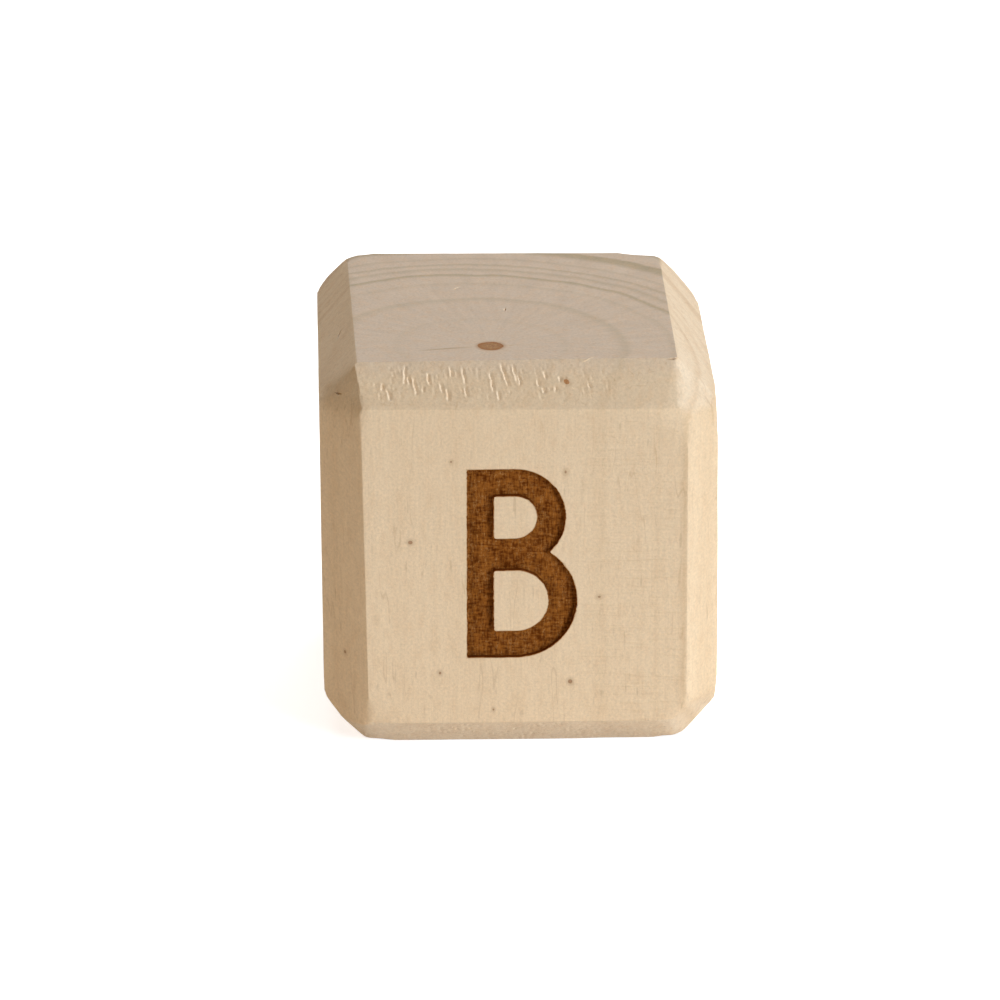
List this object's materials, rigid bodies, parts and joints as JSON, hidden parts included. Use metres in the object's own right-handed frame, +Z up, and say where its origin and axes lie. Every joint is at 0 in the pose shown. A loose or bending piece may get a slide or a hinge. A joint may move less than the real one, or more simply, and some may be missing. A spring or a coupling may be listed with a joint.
{
  "type": "alphabet block",
  "caption": "Solid wooden toy cube with chamfered edges, sanded corners and a plain letter burnt into its front face.",
  "frame": {"origin": "middle of the underside, where the block stands", "axes": "+Z up along the wood's grain, -Y out of the lettered front, +X to the right of someone who reads the letter"},
  "size_m": [0.045, 0.045, 0.045],
  "materials": {
    "bare_pine": "sanded, unfinished",
    "pith": "soft, unfinished",
    "knot_wood": "sanded, unfinished",
    "charred_pine": "scorched, matte"
  },
  "bodies": {
    "root": {"timber_block": "bare_pine", "pith_core": "pith", "pin_knots": "knot_wood", "letter_char": "charred_pine"}
  },
  "joints": []
}
